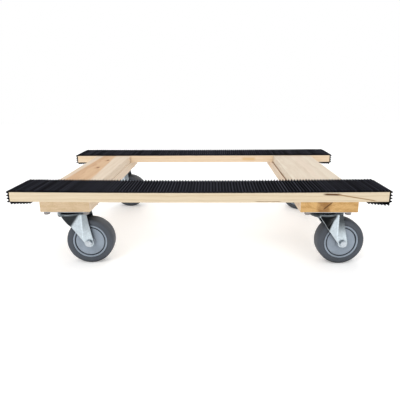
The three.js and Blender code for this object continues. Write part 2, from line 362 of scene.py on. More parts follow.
def srgb(red, green, blue):
    """A colour given on the usual 0 to 255 scale, as Blender's linear values."""
    def linear(value):
        value /= 255
        return value / 12.92 if value <= 0.04045 else ((value + 0.055) / 1.055) ** 2.4
    return (linear(red), linear(green), linear(blue))


# ---- Wood ----
SPREAD_Y = 286.0  # the length of the boards between the rails, over which a band's edges may slant
SWAY = 34.0  # how far the rings wander over a board's length, in all
WAVE = 7.0  # how far the rings, and the marks that follow them, ripple, in all
WHITE = (1, 1, 1)
GRAIN = {  # length and width of the features, then the noise's detail and roughness
    "drift": (290, 50, 2, 0.5),
    "wobble": (60, 10, 3, 0.55),
    "fibre": (34, 0.9, 4, 0.65),
    "streak": (150, 3.2, 3, 0.6),
    "cloud": (160, 24, 3, 0.5),
}


def wood(name, along, pith, ring, early, late, end, bands=(), knots=(), lines=(), heart=(), contrast=1.0, seed=0.0):
    """Softwood, cut from a trunk whose rings run round the pith.

    along is the grain's axis. pith is its place across the board, as (X or Y, Z) in millimetres, and ring is
    the ring width. early and late are the rings' two colours, and end holds those of the end grain. bands are
    (left and right edge in front, the same at the rear, softness, two colours), knots are (place, radius,
    colour), and lines are (X, Z at the left end, X, Z at the right end, half width, colour, strength) on a face
    in front. heart is the darker part of the end grain, as (left edge, right edge, colour).
    """
    net = Nodes(bpy.data.materials.new(name))
    position = net.scaled(1)
    x, y, z = net.split(position)
    across = y if along == "X" else x

    def grain(kind, *offset):
        length, width, detail, roughness = GRAIN[kind]
        scale = (1 / length, 1 / width, 1 / width) if along == "X" else (1 / width, 1 / length, 1 / width)
        return net.noise(net.scaled(*scale, offset), detail, roughness)

    def drawn(colour, waves, core, soft):
        """The lines, drawn on a colour. They are solid for a part of their width and fade at their ends."""
        for start_x, start_z, end_x, end_z, half, tint, strength in lines:
            level = net.spread(x, start_x, end_x, start_z, end_z, False)
            level = net.add(level, net.times(ripple, waves))
            off = net.math("ABSOLUTE", net.less(z, level))
            mark = net.spread(off, half, half * core, 0.0, strength)
            colour = net.mix(net.times(mark, net.between(x, start_x, end_x, soft)), colour, tint)
        return colour

    wobble = grain("wobble", seed, 0, seed)
    ripple = net.swing(wobble, WAVE)
    side = net.add(net.less(across, pith[0]), net.swing(grain("drift", seed, seed, 0), SWAY))
    height = net.add(net.less(z, pith[1]), ripple)
    distance = net.vector("LENGTH", net.combine(side, height, 0.0))
    knot_marks = []
    for place, radius, tint in knots:
        shape = (0.6, 1, 1) if along == "X" else (1, 0.6, 1)
        centred = net.vector("MULTIPLY", net.vector("SUBTRACT", position, place), shape)
        away = net.vector("LENGTH", centred)
        distance = net.add(distance, net.spread(away, radius * 4.5, 0.0, 0.0, radius * 1.6))
        knot_marks.append((away, radius, tint))

    # The rings are sharp on their dark side, fade in cloudy patches, and have fine streaks between them.
    phase = net.math("FRACT", net.math("DIVIDE", distance, ring))
    rings = net.ramp(phase, (0.0, (0, 0, 0)), (0.55, (0.2, 0.2, 0.2)), (0.86, WHITE), (1.0, (0, 0, 0)))
    fibre = grain("fibre", 0, seed, seed)
    streaks = net.spread(grain("streak", seed, seed, 2), 0.5, 0.75, 0.0, 0.45 * contrast)
    clouds = net.spread(grain("cloud", seed, 2 * seed, 0), 0.25, 0.75, 0.3 * contrast, contrast)
    mottled = net.math("ADD", net.times(rings, clouds), streaks, clamp=True)
    colour = net.mix(mottled, early, late)
    for front, rear, soft, tints in bands:
        sides = []
        for at_front, at_rear in zip(front, rear):
            slanted = net.spread(y, -SPREAD_Y / 2, SPREAD_Y / 2, at_front, at_rear, False)
            sides.append(net.add(slanted, net.times(ripple, 0.8)))
        inside = net.between(across, *sides, soft)
        colour = net.mix(net.times(inside, 0.9), colour, net.mix(mottled, *tints))
    colour = drawn(colour, 0.25, 0.3, 5.0)
    for away, radius, tint in knot_marks:
        share = net.math("FRACT", net.math("DIVIDE", away, radius / 3.5))
        knot = net.tinted(net.ramp(share, (0.0, WHITE), (0.7, (0.72, 0.66, 0.6))), tint)
        colour = net.mix(net.spread(away, radius * 1.3, radius * 0.6), colour, knot)
    colour = net.tinted(colour, net.ramp(fibre, (0.3, (0.93, 0.915, 0.895)), (0.65, (1.03, 1.03, 1.03))))

    # The end grain has pores, patches, the rings' curves and the heart.
    pores = net.noise(net.scaled(0.9, offset=(seed, 0, 0)), 4, 0.75)
    patch = net.noise(net.scaled(0.05, 0.05, 0.14, (seed, seed, 0)), 3, 0.6)
    end_colour = net.mix(net.spread(patch, 0.4, 0.65), *end)
    if heart:
        start, stop, tint = heart
        inside = net.between(net.add(x, net.swing(wobble, 16.0)), start, stop, 3.5)
        inside = net.times(inside, net.spread(patch, 0.2, 0.6, 0.5, 1))
        end_colour = net.mix(inside, end_colour, tint)
    speck = net.ramp(pores, (0.33, (0.8, 0.78, 0.74)), (0.6, (1.05, 1.05, 1.05)))
    end_colour = net.tinted(end_colour, speck)
    ring_shade = net.ramp(rings, (0.0, WHITE), (1.0, (0.86, 0.8, 0.72)))
    end_colour = net.mix(0.6 * contrast, end_colour, net.tinted(end_colour, ring_shade))
    end_colour = drawn(end_colour, 0.2, 0.4, 2.0)

    ends = net.spread(net.facing(along), 0.6, 0.9)
    colour = net.mix(ends, colour, end_colour)
    lighter_edges = net.mix(net.edges(1.4), colour, net.tinted(colour, (1.06, 1.05, 1.03)))
    relief = net.less(net.times(fibre, 0.6), net.times(rings, 0.35))
    relief = net.add(relief, net.times(ends, net.times(pores, 0.8)))
    return net.set(
        Base_Color=lighter_edges, Roughness=net.spread(fibre, 0.3, 0.7, 0.62, 0.8), Specular_IOR_Level=0.25,
        Normal=net.bump(relief, 0.22, 0.6),
    )


# ---- Rubber, plastic and steel ----
def rubber(name, colour, dust, dust_amount, roughness):
    """Black rubber with dusty patches. It is darkest and dullest where the mesh's shade is 0, which is painted shade
    in the valleys between the ribs; the tops of the ribs get a painted sheen.
    """
    net = Nodes(bpy.data.materials.new(name))
    fine = net.noise(net.scaled(1.8), 4, 0.7)
    broad = net.noise(net.scaled(0.02, 0.05, 0.05), 3, 0.6)
    dirt = net.times(net.spread(broad, 0.4, 0.75), net.spread(fine, 0.4, 0.7))
    base = net.mix(net.times(dirt, dust_amount), colour, dust)
    rib_painted_light = net.shade()
    # painted shade in the valleys and a painted sheen on the tops of the ribs, from the mesh's shade
    base = net.darkened(base, net.add(net.times(rib_painted_light, 0.94), 0.06))
    rough = net.spread(rib_painted_light, 0.0, 1.0, 1.0, roughness)
    rough = net.math("ADD", rough, net.spread(fine, 0.3, 0.7, -0.08, 0.08, False), clamp=True)
    normal = net.bump(fine, 0.12, 0.5)
    return net.set(Base_Color=base, Roughness=rough, Specular_IOR_Level=0.02, Normal=normal)


def turned_plastic(name, colour, roughness, spin, lines):
    """Moulded plastic or cast rubber, with painted shade where other surfaces come close. lines is the share of the
    faint turned rings round the axle of spin.
    """
    net = Nodes(bpy.data.materials.new(name))
    offset = net.vector("SUBTRACT", net.coordinates["Object"], tuple(spin["pos_m"]))
    away = net.vector("LENGTH", net.vector("CROSS_PRODUCT", offset, tuple(spin["axis"])))
    radius = net.math("DIVIDE", away, MM)
    turned = net.noise(net.combine(radius, 0.0, 0.0), 3, 0.6, scale=1.7)
    fine = net.noise(net.scaled(1.5), 4, 0.65)
    broad = net.noise(net.scaled(0.035), 3, 0.55)
    tone = net.add(net.times(turned, lines), net.times(broad, 1 - lines))
    base = net.mix(net.spread(tone, 0.3, 0.7), tuple(v * 0.86 for v in colour), tuple(v * 1.12 for v in colour))
    # painted shade where other surfaces come close
    base = net.darkened(base, net.occlusion(38, 0.16))
    rough = net.spread(fine, 0.3, 0.7, roughness - 0.06, roughness + 0.08)
    normal = net.bump(fine, 0.05, 0.4, net.bump(turned, 0.08, 0.5))
    return net.set(Base_Color=base, Roughness=rough, Specular_IOR_Level=0.3, Normal=normal)


def zinc(name, colour, roughness, reach=30, shaded=False):
    """Zinc-plated steel: faint spangle and cloudy patches, and painted shade where other surfaces close it in.

    reach is how far away such surfaces count, and shaded says that the mesh's shade, its painted light and shade, is
    multiplied in as well.
    """
    net = Nodes(bpy.data.materials.new(name))
    broad = net.noise(net.scaled(0.05), 3, 0.6)
    fine = net.noise(net.scaled(0.9, 0.9, 0.14), 4, 0.7)
    spangle = net.cells(net.scaled(0.3))
    tone = net.add(net.times(spangle, 0.25), net.times(broad, 0.45), net.times(fine, 0.3))
    base = net.mix(net.spread(tone, 0.3, 0.7), tuple(value * 0.825 for value in colour), colour)
    # painted shade in corners and between close surfaces, and the mesh's painted light and shade if shaded
    painted_shade = net.occlusion(reach, 0.06)
    if shaded:
        painted_shade = net.times(painted_shade, net.shade())
    base = net.darkened(base, painted_shade)
    # brighter on rounded edges: painted highlight, with some edge wear
    lighter_edges = net.mix(net.times(net.edges(0.8), 0.3), base, tuple(value * 1.15 for value in colour))
    rough = net.spread(fine, 0.3, 0.7, roughness - 0.05, roughness + 0.09)
    rough = net.add(rough, net.times(broad, 0.08))
    normal = net.bump(fine, 0.03, 0.35, net.bump(broad, 0.5, 0.25))
    return net.set(Base_Color=lighter_edges, Metallic=1.0, Roughness=rough, Normal=normal)


# ---- Boards ----
BOARD_EDGE = 1.1  # the rounding of the boards' edges
FACE_LENGTH = 40  # of the faces that a board is made from, at most


def sagged(x, half, sag):
    """How far a board that is bowed by sag hangs at x, with its ends in place."""
    return sag * (1 - (x / half) ** 2)


def board(node, material, sag):
    """A planed board with eased edges. A sagging one is a little lower in the middle of its length."""
    low, high = limits(node)
    counts = [max(1, round((high[axis] - low[axis]) / FACE_LENGTH)) for axis in range(3)]
    vertices, faces, at = [], [], {}

    def corner(*grid):
        if grid not in at:
            at[grid] = len(vertices)
            point = [low[axis] + (high[axis] - low[axis]) * grid[axis] / counts[axis] for axis in range(3)]
            point[2] -= sagged(point[0], high.x, sag) if sag else 0
            vertices.append(point)
        return at[grid]

    for axis in range(3):
        first, second = [other for other in range(3) if other != axis]
        for level in (0, counts[axis]):
            for row in range(counts[first]):
                for column in range(counts[second]):
                    face = []
                    for down, right in ((0, 0), (1, 0), (1, 1), (0, 1)):
                        grid = [0, 0, 0]
                        grid[axis], grid[first], grid[second] = level, row + down, column + right
                        face.append(corner(*grid))
                    faces.append(face)
    piece = outward(add_object(f"{node}_look", vertices, faces, material))
    bevel(piece, BOARD_EDGE, 3)
    return apply_modifiers(piece, 30)


# ---- Treads ----
TREAD_BASE = 1.1
RIB_HEIGHT = 3.7
RIB_PITCH = 6.35
RIBS_UNDER = 6
SLACK = 1.5  # what the folds need more because they hang
END_GAP = 1.2  # between the strip and the rail's end
FOLD_HANG = {"front_tread": (1.2, 3.6), "rear_tread": (1.6, 2.4)}  # the fold's drop at the left and right end
BEND = 1.2  # the strip's inner bend radius over the rail's top edge
LOWER_BEND = 3.8  # and under its bottom edge
LEAN = 0.16  # how far the ribs wander to either side
LEAN_WAVES = (0.021, 0.035, 0.05)  # how fast they wander, in radians per millimetre
SLICES = 10  # of the strip's width
TOP_SHINE, END_SHINE = 0.25, 0.6  # how much the painted sheen on the ribs' tops differs from rib to rib, in the strip's middle and towards its ends
VALLEY_MID_TONE = 0.45  # the tone of the painted shade between the ribs in the strip's middle; it is darker towards the ends
RIB_SHAPE = (  # distance from the rib's middle as a part of the pitch, height as a part of the rib's height
    (0.0, 1.0), (0.06, 0.985), (0.12, 0.9), (0.18, 0.66), (0.23, 0.34), (0.3, 0.08), (0.38, 0.0), (0.5, 0.0),
)


def rib_height(distance):
    """The ribs' height at a distance from the middle of any rib."""
    part = abs((distance / RIB_PITCH + 0.5) % 1 - 0.5)
    for (near, high), (far, low) in zip(RIB_SHAPE, RIB_SHAPE[1:]):
        if part <= far:
            return RIB_HEIGHT * lerp(high, low, (part - near) / (far - near))
    return 0.0


def strip_point(along, half, thickness, hang):
    """A place on the strip for a distance from the middle of the top: its inner point and its way out.

    X and Z are measured from the middle of the rail's top. thickness is the rail's, and hang is how far the
    fold hangs off its underside at this end.
    """
    side = 1 if along > 0 else -1
    run = abs(along)
    end, bottom = half + END_GAP, -thickness - hang
    upper_turn = math.pi / 2 * (BEND + TREAD_BASE)
    lower_turn = math.pi / 2 * (LOWER_BEND + TREAD_BASE)
    part = 0
    for length in (end - BEND, upper_turn, -BEND - LOWER_BEND - bottom, lower_turn):
        if run <= length:
            break
        run -= length
        part += 1
    if part == 0:  # over the top
        spot, out = Vector((run, 0)), Vector((0, 1))
    elif part == 1:  # round the top edge
        angle = run / upper_turn * math.pi / 2
        out = Vector((math.sin(angle), math.cos(angle)))
        spot = Vector((end - BEND, -BEND)) + out * BEND
    elif part == 2:  # down the end
        spot, out = Vector((end, -BEND - run)), Vector((1, 0))
    elif part == 3:  # round the bottom edge
        angle = run / lower_turn * math.pi / 2
        out = Vector((math.cos(angle), -math.sin(angle)))
        spot = Vector((end - LOWER_BEND, bottom + LOWER_BEND)) + out * LOWER_BEND
    else:  # back underneath, up to the rail
        spot = Vector((end - LOWER_BEND - run, bottom + hang * min(1, run / (RIBS_UNDER * RIB_PITCH))))
        out = Vector((0, -1))
    return Vector((spot.x * side, spot.y)), Vector((out.x * side, out.y))


def tread(node, rail, material, sag):
    """The corrugated strip: over the rail's top, down both ends and a little way back underneath."""
    rail_low, rail_high = limits(rail)
    low, high = limits(node)
    name = f"{node}_look"
    half, top = rail_high.x, rail_high.z
    thickness = top - rail_low.z
    turns = math.pi / 2 * (BEND + LOWER_BEND + 2 * TREAD_BASE)
    reach = half + END_GAP - 2 * BEND - LOWER_BEND + turns + thickness + SLACK + RIBS_UNDER * RIB_PITCH
    offsets = sorted({side * part * RIB_PITCH for part, _ in RIB_SHAPE for side in (-1, 1) if abs(part) < 0.5})
    count = math.ceil(reach / RIB_PITCH)
    stations = [-reach]
    for index in range(-count, count):
        middle = (index + 0.5) * RIB_PITCH
        stations += [middle + offset for offset in offsets if abs(middle + offset) < reach - 0.2]
    stations.append(reach)
    dice = random.Random(name)
    phases = [dice.uniform(0, 6.28) for draw in range(4)]
    ribs = {index: (dice.uniform(0.86, 1.0), dice.uniform(-1.0, 1.0)) for index in range(-count - 2, count + 2)}
    vertices, painted_light_tones = [], []
    for layer in range(SLICES + 1):
        y = lerp(low.y, high.y, layer / SLICES)
        for along in stations:
            spot, out = strip_point(along, half, thickness, FOLD_HANG[node][along > 0])
            wave = math.sin(along * LEAN_WAVES[0] + y * LEAN_WAVES[1] + phases[0])
            lean = LEAN * wave * math.sin(y * LEAN_WAVES[2] + phases[1])
            scale, shine = ribs[math.floor(along / RIB_PITCH)]
            height = rib_height(along - RIB_PITCH / 2) * scale
            drop = sagged(spot.x, half, sag) if abs(spot.x) < half else 0
            outer = spot + out * (TREAD_BASE + height)
            outer.x += lean if abs(spot.x) < half - 2 and out.y > 0 else 0
            # The valleys between the ribs get painted shade, less deep in the strip's middle, and the tops of the
            # ribs a painted sheen that differs from rib to rib.
            dust = VALLEY_MID_TONE * clamp(1.1 - abs(spot.x) / 220)
            rib_top_sheen = 1 + shine * lerp(TOP_SHINE, END_SHINE, clamp(abs(spot.x) / 250))
            rib_painted_light = lerp(dust, rib_top_sheen, ease((height / RIB_HEIGHT / scale - 0.3) / 0.6))
            for point, tone in ((spot, 0.0), (outer, rib_painted_light)):
                vertices.append((point.x, y, top + point.y - drop))
                painted_light_tones.append(tone)
    row = 2 * len(stations)
    inner, outer = list(range(0, row, 2)), list(range(1, row, 2))
    starts = range(0, (SLICES + 1) * row, row)
    faces = ring_faces([[start + corner for corner in inner + outer[::-1]] for start in starts])
    for start in (0, SLICES * row):
        for corner in inner[:-1]:
            faces.append([start + corner, start + corner + 1, start + corner + 3, start + corner + 2])
    strip = add_object(name, vertices, faces, material, smooth=48)
    shade_points(strip, painted_light_tones)
    return outward(strip)


# ---- Caster pieces ----
# Their own frame has its origin at the plate's top on the swivel axis, and +X is the trail.
HUB_GREY, TYRE_GREY = srgb(144, 155, 168), srgb(75, 80, 88)
SHEET = 2.6  # the fork's thickness
PLATE_THICKNESS = 3.2
RACE_LEVEL = -5.6
CROWN_TOP = -10.0
CROWN_RADIUS = 30.0
CROWN_BEND = 3.2
CROWN_BORE = 6.5
SKIRT_LEVEL = -17.5  # where the crown's rolled edge ends
LEG_OUTER = 21.0  # from the middle plane to a leg's outer face at the axle
LEG_LEAD_U, LEG_TOP_U = -15.0, 36.0  # the leg's two edges at the crown
STRAIGHT_U = 21.0  # where the legs leave the round crown and run on straight
CREASE_U = 26.0  # where a crease runs down the leg
CREASE_IN = 2.4  # how far the strip behind it turns in
FACET_FOOT, FACET_SLOPE = -47.2, 1.4  # the slanting crease's height at the swivel axis, and its slope
TIP_RADIUS = 10.0
TIP_ANGLES = (10, 20, 30, 40, 50, 60, 70, 80, 86.5)  # of the rows round the leg's end
EDGE_ROLL = (2.2, 0.8)  # how far the leading edge is rolled in, at the crown and lower down
RIM_PAINTED_LIGHT = (0.8, 1.5, 1.2, 0.4, 0.2)  # painted highlight, then painted shade, over the crown's rolled edge, from the top down
# painted shade on the crown's top under the plate, and on the skirt below the rolled edge
CROWN_PAINTED_SHADE, SKIRT_PAINTED_SHADE = 0.4, 0.15
LEG_PAINTED_LIGHT = {  # what the legs' painted light takes as look; the rear casters are like the front left one
    "front_left": (0.05, 0, 0, 0.5, 2.4),
    "front_right": (0.012, 5, 1.3, 0.1, 0.4),
}
AXLE_FLATS, AXLE_HEAD, AXLE_NUT = 12.7, 5.4, 6.2  # across the flats, and the two heights
AXLE_RADIUS = 3.95
AXLE_TIP = 8.6  # how far the axle bolt reaches past the leg
BUSH_BORE, BUSH_RADIUS = 4.4, 7.9
BOLT_FLATS, BOLT_NUT = 11.0, 5.3  # a mounting nut across the flats, and its height
BOLT_RADIUS = 3.05
BOLT_HEAD_RADIUS = 7.6


def facet_edge(u):
    """The height of the slanting crease between the flat leg and the part that widens to the crown."""
    return min(FACET_FOOT + FACET_SLOPE * u, SKIRT_LEVEL - 0.5)


def leg_face(u, z):
    """How far a leg's outer face stands from the fork's middle plane."""
    crown = math.sqrt(max(CROWN_RADIUS ** 2 - u ** 2, LEG_OUTER ** 2))
    fade = clamp((z - facet_edge(u)) / (SKIRT_LEVEL - facet_edge(u)))
    lean = clamp((z + 70) / 50)
    strip = clamp((u - CREASE_U) / (LEG_TOP_U - CREASE_U))
    ridge = 0.3 * math.exp(-((u - CREASE_U) / 1.2) ** 2) * lean
    return LEG_OUTER + (crown - LEG_OUTER) * fade - CREASE_IN * strip * lean + ridge


def painted_leg_light(u, z, lead, look):
    """How bright a leg's plating is painted: a painted dark reflection on the facet, and painted highlights on the
    crease and the rolled edge.

    look holds the tone of the facet's painted dark reflection, how much further down it reaches than the crease, the
    slope of that extra part, the tone of the painted dark reflection behind the crease at the top, and the tone of
    the painted light on the crown's nose.
    """
    facet_reflection, further, steeper, strip_reflection = look[:4]
    edge = facet_edge(u) - further - steeper * max(0, 16 - u)
    facet = ease((z - edge) / 7) * ease((25 - u) / 7)
    strip = ease((u - CREASE_U + 0.2) / 1.0)
    # painted dark reflections on the facet and on the strip behind the crease
    tone = lerp(lerp(0.9, facet_reflection, facet), lerp(1.0, strip_reflection, ease((z + 72) / 46)), strip)
    # a painted highlight along the crease
    tone += 0.3 * math.exp(-((u - CREASE_U + 0.8) / 0.9) ** 2)
    # a painted highlight on the rolled leading edge
    return lerp(tone, 0.95, ease(1 - (u - lead) / 1.3))


def fork_mesh(node, material, place, trail, axle_z, look):
    """The pressed fork: a round crown whose rim is rolled down, running into two legs. One sheet, thickened. Its
    points hold painted highlights, painted shade and painted dark reflections.
    """
    across, front_steps, back_steps = 36, 22, 12
    crown_rows, bend_rows, skirt_rows, leg_rows = 5, 4, 3, 40
    vertices, painted_light_tones, faces, at = [], [], [], {}

    def vertex(key, point, tone):
        if key not in at:
            at[key] = len(vertices)
            vertices.append(point)
            painted_light_tones.append(tone)

    def quad(left, right, row):
        """The face between two columns, from one row to the next."""
        faces.append([at[key] for key in ((left, row), (left, row + 1), (right, row + 1), (right, row))])

    def outline(column):
        """A point of the crown's outline at the foot of its rolled edge, and the direction out."""
        kind, side, part = column
        wall = CROWN_TOP - CROWN_BEND
        if kind == "leg":
            u = lerp(LEG_LEAD_U, LEG_TOP_U, part)
            out = Vector((0, side, 0))
            if part == 1:
                out = Vector((1, side, 0))
            elif u < STRAIGHT_U:
                out = Vector((u / CROWN_RADIUS, side * math.sqrt(1 - (u / CROWN_RADIUS) ** 2), 0))
            return Vector((u, side * leg_face(u, wall), 0)), out
        if kind == "front":
            start = math.acos(LEG_LEAD_U / CROWN_RADIUS)
            angle = lerp(start, 2 * math.pi - start, part)
            out = Vector((math.cos(angle), math.sin(angle), 0))
            return out * CROWN_RADIUS, out
        edge = leg_face(LEG_TOP_U, wall)
        return Vector((LEG_TOP_U, lerp(-edge, edge, part), 0)), Vector((1, 0, 0))

    columns = [("leg", 1, (across - step) / across) for step in range(across)]
    columns += [("front", 0, step / front_steps) for step in range(front_steps)]
    columns += [("leg", -1, step / across) for step in range(across)]
    columns += [("back", 0, step / back_steps) for step in range(back_steps)]
    total = len(columns)
    for number, column in enumerate(columns):
        foot, out = outline(column)
        inset = foot - out * CROWN_BEND
        flat = Vector((inset.x, inset.y, 0))
        spot = flat.normalized() * CROWN_BORE
        for row in range(crown_rows):
            # painted shade on the crown's top
            vertex((number, row), (*spot.lerp(flat, row / crown_rows)[:2], CROWN_TOP), CROWN_PAINTED_SHADE)
        for row in range(bend_rows + 1):
            angle = math.pi / 2 * row / bend_rows
            point = inset + out * CROWN_BEND * math.sin(angle)
            level = CROWN_TOP - CROWN_BEND * (1 - math.cos(angle))
            # painted highlight at the top of the rolled rim and painted shade below it, scaled on the crown's nose by
            # look
            tone = RIM_PAINTED_LIGHT[row] * (look[4] if column[0] == "front" else 1)
            vertex((number, crown_rows + row), (point.x, point.y, level), tone)
    bottom_row = crown_rows + bend_rows
    for number in range(total):
        for row in range(bottom_row):
            quad(number, (number + 1) % total, row)
    wall_rows = [lerp(CROWN_TOP - CROWN_BEND, SKIRT_LEVEL, (row + 1) / skirt_rows) for row in range(skirt_rows)]
    leg_levels = [lerp(SKIRT_LEVEL, axle_z, (row + 1) / leg_rows) for row in range(leg_rows)]
    leg_shape = []  # the height, leading edge and trailing edge of each row, from the crown down
    for z in wall_rows + leg_levels:
        down = clamp((z - SKIRT_LEVEL) / (axle_z - SKIRT_LEVEL))
        lead, back = lerp(LEG_LEAD_U, trail - TIP_RADIUS, down), lerp(LEG_TOP_U, trail + TIP_RADIUS, down)
        leg_shape.append((z, lead, back))
    for angle in TIP_ANGLES:
        wide, drop = TIP_RADIUS * math.cos(math.radians(angle)), TIP_RADIUS * math.sin(math.radians(angle))
        leg_shape.append((axle_z - drop, trail - wide, trail + wide))
    for side, first in ((1, 0), (-1, across + front_steps)):
        numbers = [(first + step) % total for step in range(across + 1)]
        shares = [step / across for step in range(across + 1)][::-side]
        for row, (z, lead, back) in enumerate(leg_shape, bottom_row + 1):
            roll = lerp(*EDGE_ROLL, clamp((z - SKIRT_LEVEL) / (-46 - SKIRT_LEVEL)))
            for number, share in zip(numbers, shares):
                u = lerp(lead, back, share)
                face = leg_face(u, z) - roll * ease(1 - (u - lead) / 2.6)
                vertex((number, row), (u, side * face, z), painted_leg_light(u, z, lead, look))
            for left, right in zip(numbers, numbers[1:]):
                quad(left, right, row - 1)
    for number in range(across, across + front_steps):
        for row in range(skirt_rows):
            for spot in (number, number + 1):
                foot, _ = outline(columns[spot])
                # painted shade on the skirt below the rolled edge
                vertex((spot, bottom_row + 1 + row), (foot.x, foot.y, wall_rows[row]), SKIRT_PAINTED_SHADE)
            quad(number, number + 1, bottom_row + row)
    piece = add_object(node + "_look", vertices, faces, material, place)
    shade_points(piece, painted_light_tones)
    outward(piece, sheet=True)
    thick = piece.modifiers.new("sheet", "SOLIDIFY")
    thick.thickness = SHEET * MM
    thick.offset = -1
    bevel(piece, 0.45, 2, 50)
    return apply_modifiers(piece, 38)


def hex_piece(name, flats, low, high, material, place, turn, both=False):
    """A hexagon head or nut whose corners are cut off by a cone, at the top or at both ends."""
    sides = 72
    inner = flats / 2 * 0.95
    vertices = []
    for full, way, level, cut in ((0, -1, low, both), (1, -1, low, both), (1, 1, high, True), (0, 1, high, True)):
        for step in range(sides):
            angle = 2 * math.pi * step / sides
            within = (angle - math.radians(turn)) % (math.pi / 3) - math.pi / 6
            radius = flats / 2 / math.cos(within) if full else inner
            drop = (radius - inner) * 0.55 * cut * way
            vertices.append((radius * math.cos(angle), radius * math.sin(angle), level - drop))
    rings = [list(range(start, start + sides)) for start in range(0, 4 * sides, sides)]
    faces = ring_faces(rings) + [rings[0][::-1], rings[3]]
    return outward(add_object(name, vertices, faces, material, place, 25))


def threaded_rod(name, radius, low, high, material, place, pitch=1.4, sides=28):
    """A bolt's shank with thread ridges as rings, and a rounded end at the low side."""
    root = radius * 0.87
    profile = [(0, low), (radius * 0.7, low), (radius * 0.88, low + 0.5)]
    level = low + 0.9
    while level + pitch < high:
        profile += [(radius, level), (radius, level + 0.2), (root, level + pitch * 0.6)]
        level += pitch
    profile += [(radius, high - 0.4), (radius, high), (0, high)]
    return lathe(name, profile, material, place, sides)


def top_plate(name, material, place):
    low, high = limits(name)
    outline = rounded_rectangle((high.x - low.x) / 2, (high.y - low.y) / 2, 6)
    count = len(outline)
    vertices = [(x, y, z) for z in (-PLATE_THICKNESS, 0) for x, y in outline]
    rings = [list(range(count)), list(range(count, 2 * count))]
    faces = [rings[0][::-1], rings[1]] + ring_faces(rings)
    flat = outward(add_object(name + "_flat", vertices, faces, material, place))
    bevel(flat, 0.5, 2)
    apply_modifiers(flat, 50)
    race = [(0, RACE_LEVEL + 0.6), (15, RACE_LEVEL + 0.6), (17, RACE_LEVEL)]
    race += arc((22.0, RACE_LEVEL + 1.6), 1.6, 270, 340, 4)
    race += [(25.2, -PLATE_THICKNESS - 0.2), (26.5, -PLATE_THICKNESS)]
    race += [(26.5, -PLATE_THICKNESS + 0.6), (0, -PLATE_THICKNESS + 0.6)]
    return join(name + "_look", [flat, lathe(name + "_race", race, material, place, 72)])


def ball_race(name, ball_material, cage_material, place):
    """Balls between the plate's race and the crown, in a thin cage."""
    count, pitch_radius, ball = 20, 23.4, 1.85
    middle = (CROWN_TOP + RACE_LEVEL) / 2
    profile = [(0, -ball)] + arc((0, 0), ball, -75, 75, 8) + [(0, ball)]
    pieces = []
    for number in range(count):
        angle = 2 * math.pi * number / count
        centre = Vector((pitch_radius * math.cos(angle), pitch_radius * math.sin(angle), middle)) * MM
        ball_place = place @ Matrix.Translation(centre)
        pieces.append(lathe(f"{name}_ball", profile, ball_material, ball_place, 16, 60))
    cage = [(17.5, middle - 1.0), (21.2, middle - 1.0), (21.2, middle + 1.0), (17.5, middle + 1.0)]
    pieces.append(lathe(f"{name}_cage", cage, cage_material, place, 64))
    return join(name + "_look", pieces)


def kingpin(name, material, place):
    """The rivet through the crown: a domed head below it, and a flat one inside the plate's race."""
    shoulder = CROWN_TOP - SHEET - GAP
    profile = [(0, shoulder - 3.4), (3.2, shoulder - 3.35), (6.5, shoulder - 2.9), (9.0, shoulder - 2.0)]
    profile += [(10.3, shoulder - 0.9), (10.5, shoulder), (6, shoulder)]
    profile += [(6, -1.7), (8.8, -1.7), (8.8, -GAP), (0, -GAP)]
    return lathe(name + "_look", profile, material, place, 48)


def both_sides(profile):
    """A profile for one side of the wheel, with its mirror image."""
    other = [(radius, -across) for radius, across in reversed(profile)]
    return profile + (other[1:] if profile[-1][1] == 0 else other)


HUB_SECTION = both_sides([  # from the bore out: boss, dished disc, groove and rim ring
    (8.3, 17.4), *arc((11.6, 16.5), 0.9, 90, 0, 3), (12.7, 13.4),
    (14.5, 12.9), (22.0, 12.7), (29.2, 12.9), *arc((29.8, 12.1), 0.9, 90, 0, 4),
    (30.9, 9.8), (32.3, 9.8), (33.1, 12.9), *arc((33.9, 13.0), 0.8, 180, 90, 4),
    *arc((36.2, 13.0), 0.8, 90, 10, 4), (37.2, 12.4),
])
TYRE_SECTION = both_sides([  # from the rim to the middle of the tread
    (37.25, 12.4), (37.3, 13.4), (38.2, 14.3), (41.0, 14.9), *arc((44.4, 8.8), 6.25, 100, 34, 9),
    (50.3, 10.3), (50.62, 7.0), (50.76, 3.5), (50.8, 0.0),
])


def turned_piece(name, section, material, place, sides):
    return lathe(name + "_look", section, material, place, sides)


def mounting_bolt(name, material, base):
    """A bolt through the rail, crossmember and plate, whose top is at base, with its nut below the plate."""
    low, high = limits(name)
    middle = (low + high) / 2
    place = Matrix.Translation(Vector((middle.x, middle.y, 0)) * MM)
    nut_top = base - PLATE_THICKNESS - GAP
    turn = random.Random(name).uniform(0, 60)
    nut = hex_piece(name + "_nut", BOLT_FLATS, nut_top - BOLT_NUT, nut_top, material, place, turn, True)
    thread = threaded_rod(name + "_shank", BOLT_RADIUS, low.z, base + 8, material, place)
    rest = [(0, base + 7.9), (BOLT_RADIUS, base + 7.9), (BOLT_RADIUS, high.z - 2.4), (BOLT_HEAD_RADIUS, high.z - 2.4)]
    rest += [(BOLT_HEAD_RADIUS - 0.4, high.z - 1.6), (5.0, high.z - 0.5), (0, high.z)]
    head = lathe(name + "_head", rest, material, place, 32)
    return join(name + "_look", [nut, thread, head])


def axle_bolt(name, material, place):
    """The bolt through both legs, with its head on the left one."""
    face = LEG_OUTER + GAP
    head = hex_piece(name + "_head", AXLE_FLATS, face, face + AXLE_HEAD, material, place, 8)
    ring = [(0, face - 0.2), (6.2, face - 0.2), (6.2, face + 0.5), (0, face + 0.5)]
    collar = lathe(name + "_collar", ring, material, place, 40)
    shaft = threaded_rod(name + "_shaft", AXLE_RADIUS, -face - AXLE_TIP, face + 1, material, place, 1.5, 40)
    return join(name + "_look", [head, collar, shaft])


